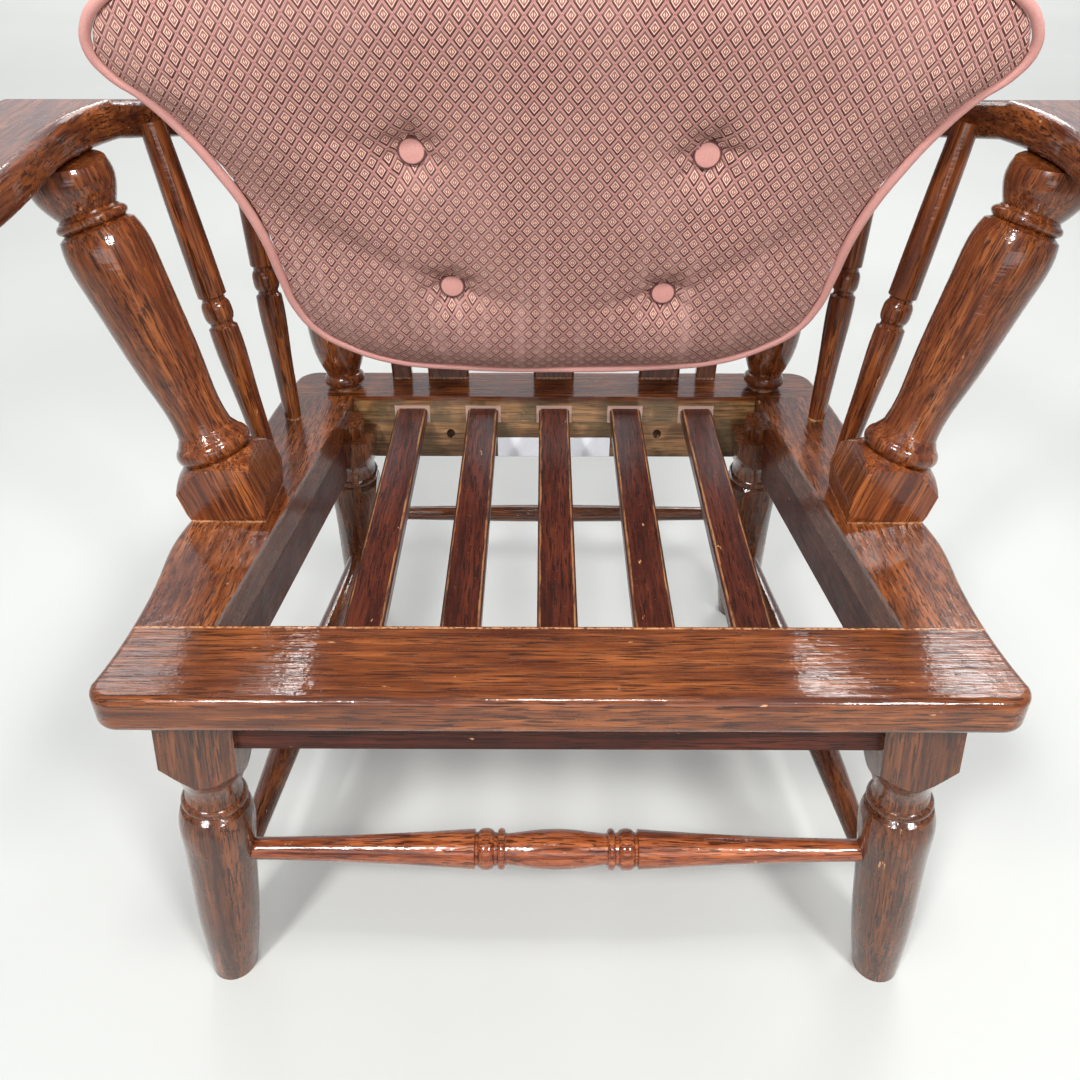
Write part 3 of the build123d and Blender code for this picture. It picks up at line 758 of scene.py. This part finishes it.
def make_piping(name, node, depth, fabric):
    """Fabric covered cord along a seam."""
    curve = seam_curve(name, depth, PIPING_RADIUS * 0.5)
    curve.data.bevel_depth = PIPING_RADIUS * 0.88
    curve.data.bevel_resolution = 5
    mesh = bpy.data.meshes.new_from_object(curve)
    piping = add_object(name, mesh)
    mesh.materials.clear()
    mesh.materials.append(fabric)
    mesh.polygons.foreach_set("use_smooth", [True] * len(mesh.polygons))
    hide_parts(node)
    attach(piping, "root")
    return piping


def surface_height(body, x, y):
    """How far the cushion's front stands out of its seam plane at a point."""
    inverse = PANEL.inverted()
    start = PANEL @ Vector((x, y, 0.2))
    way = PANEL.to_3x3() @ Vector((0, 0, -1))
    hit, place, _, _ = body.ray_cast(start, way)
    return (inverse @ place).z if hit else 0.0


BUTTON_PROFILE = (          # share of the radius, share of the dome's height
    (0.4, 0.96),
    (0.7, 0.84),
    (0.88, 0.62),
    (0.97, 0.3),
    (1.0, -0.1),
    (0.96, -1.2),
    (0.8, -2.0),
)


def make_button(name, place, body, fabric):
    """A flat, cloth-covered button pulled down into its dimple."""
    shape = bmesh.new()
    reach = shape.loops.layers.uv.new("from_middle")
    around = 40
    height = 0.0014
    tilt = 0.20
    x, y = place
    level = surface_height(body, x, y) + 0.0022
    top = shape.verts.new(PANEL @ Vector((x, y, level + height)))
    from_middle = {top: 0.0}
    rings = []
    for share, rise in BUTTON_PROFILE:
        ring = []
        for k in range(around):
            angle = math.tau * k / around
            out = Vector((math.cos(angle), math.sin(angle), 0)) * BUTTON_RADIUS * share
            spot = Vector((x, y, level + height * rise - tilt * out.y)) + out
            ring.append(shape.verts.new(PANEL @ spot))
            from_middle[ring[-1]] = share if rise > -0.5 else 1.0
        rings.append(ring)
    for k in range(around):
        after = (k + 1) % around
        shape.faces.new((top, rings[0][k], rings[0][after]))
        for low, high in zip(rings[1:], rings[:-1]):
            shape.faces.new((high[k], low[k], low[after], high[after]))
    shape.faces.new(list(reversed(rings[-1])))
    for face in shape.faces:
        face.smooth = True
        for loop in face.loops:
            loop[reach].uv = (from_middle[loop.vert], 0.0)
    mesh = bpy.data.meshes.new(f"{name}_covered_button")
    shape.to_mesh(mesh)
    shape.free()
    button = add_object(f"{name}_covered_button", mesh, fabric)
    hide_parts(f"{name}_button")
    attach(button, "root")


# ---- stage ---------------------------------------------------------------------
def make_floor():
    """A plain floor that runs out of sight."""
    size = 60.0
    mesh = bpy.data.meshes.new("studio_floor")
    corners = [(-size, -size, 0), (size, -size, 0), (size, size, 0), (-size, size, 0)]
    mesh.from_pydata([Vector(c) for c in corners], [], [(0, 1, 2, 3)])
    floor = add_object("studio_floor", mesh, floor_paint())


def area_light(name, place, target, size, power):
    """A white rectangular light aimed at a target."""
    data = bpy.data.lights.new(name, "AREA")
    data.shape = "RECTANGLE"
    data.size, data.size_y = size
    data.energy = power
    light = bpy.data.objects.new(name, data)
    light.location = place
    light.rotation_euler = (Vector(target) - Vector(place)).to_track_quat("-Z", "Y").to_euler()
    bpy.context.scene.collection.objects.link(light)


def make_world():
    """Soft studio surroundings, brightest low down behind the chair."""
    world = bpy.data.worlds.new("studio")
    world.use_nodes = True
    tree = world.node_tree
    background = tree.nodes["Background"]
    direction = tree.nodes.new("ShaderNodeTexCoord")
    axes = tree.nodes.new("ShaderNodeSeparateXYZ")
    ramp = tree.nodes.new("ShaderNodeMapRange")
    ramp.inputs["From Min"].default_value = 0.0
    ramp.inputs["From Max"].default_value = 0.8
    ramp.inputs["To Min"].default_value = 0.45
    ramp.inputs["To Max"].default_value = 0.85
    tree.links.new(direction.outputs["Generated"], axes.inputs["Vector"])
    tree.links.new(axes.outputs["Y"], ramp.inputs["Value"])
    tree.links.new(ramp.outputs["Result"], background.inputs["Strength"])
    background.inputs["Color"].default_value = paint("e9ecf2")
    bpy.context.scene.world = world


def make_lights():
    """Two small lights over the front, soft ones round them, and the backdrop's."""
    middle = (0, 0, 0.4)
    area_light("key", (-0.9, -1.7, 2.4), middle, (0.35, 0.35), 52)
    area_light("fill", (1.1, -1.7, 2.2), middle, (0.40, 0.35), 38)
    area_light("front_low", (0.0, -2.6, 1.2), middle, (2.4, 0.8), 14)
    area_light("ceiling", (0.1, -0.5, 2.6), middle, (0.5, 0.3), 20)
    area_light("back_right", (0.9, 1.7, 2.0), middle, (1.0, 0.5), 16)
    area_light("back_left", (-0.75, 1.6, 2.0), middle, (0.12, 0.9), 5)
    area_light("backdrop", (0.0, 5.0, 4.5), (0, 7.0, 0), (8.0, 4.0), 420)
    make_world()


def make_camera():
    """A camera above the front edge of the seat, looking down into the chair."""
    data = bpy.data.cameras.new("camera")
    data.sensor_width = 36.0
    data.lens = 32.4
    camera = bpy.data.objects.new("camera", data)
    camera.location = (-0.011, SEAT_FRONT - 0.426, 0.805)
    camera.rotation_euler = (math.radians(51.8), 0, math.radians(0.23))
    bpy.context.scene.collection.objects.link(camera)
    bpy.context.scene.camera = camera


# ---- everything ----------------------------------------------------------------
make_camera()
make_floor()
make_lights()
bpy.context.scene.view_settings.view_transform = "Standard"
dress_wood()
fabric = cushion_fabric()
plain = plain_fabric("piping_fabric")
cushion = make_cushion(fabric)
make_piping("front_seam_piping", "front_piping", PIPING_RADIUS, plain)
make_piping("rear_seam_piping", "rear_piping", CUSHION_THICK - PIPING_RADIUS, plain)
button_cloth = plain_fabric("button_fabric", painted_rim_shadow=True)
for name, place in BUTTONS.items():
    make_button(name, place, cushion, button_cloth)
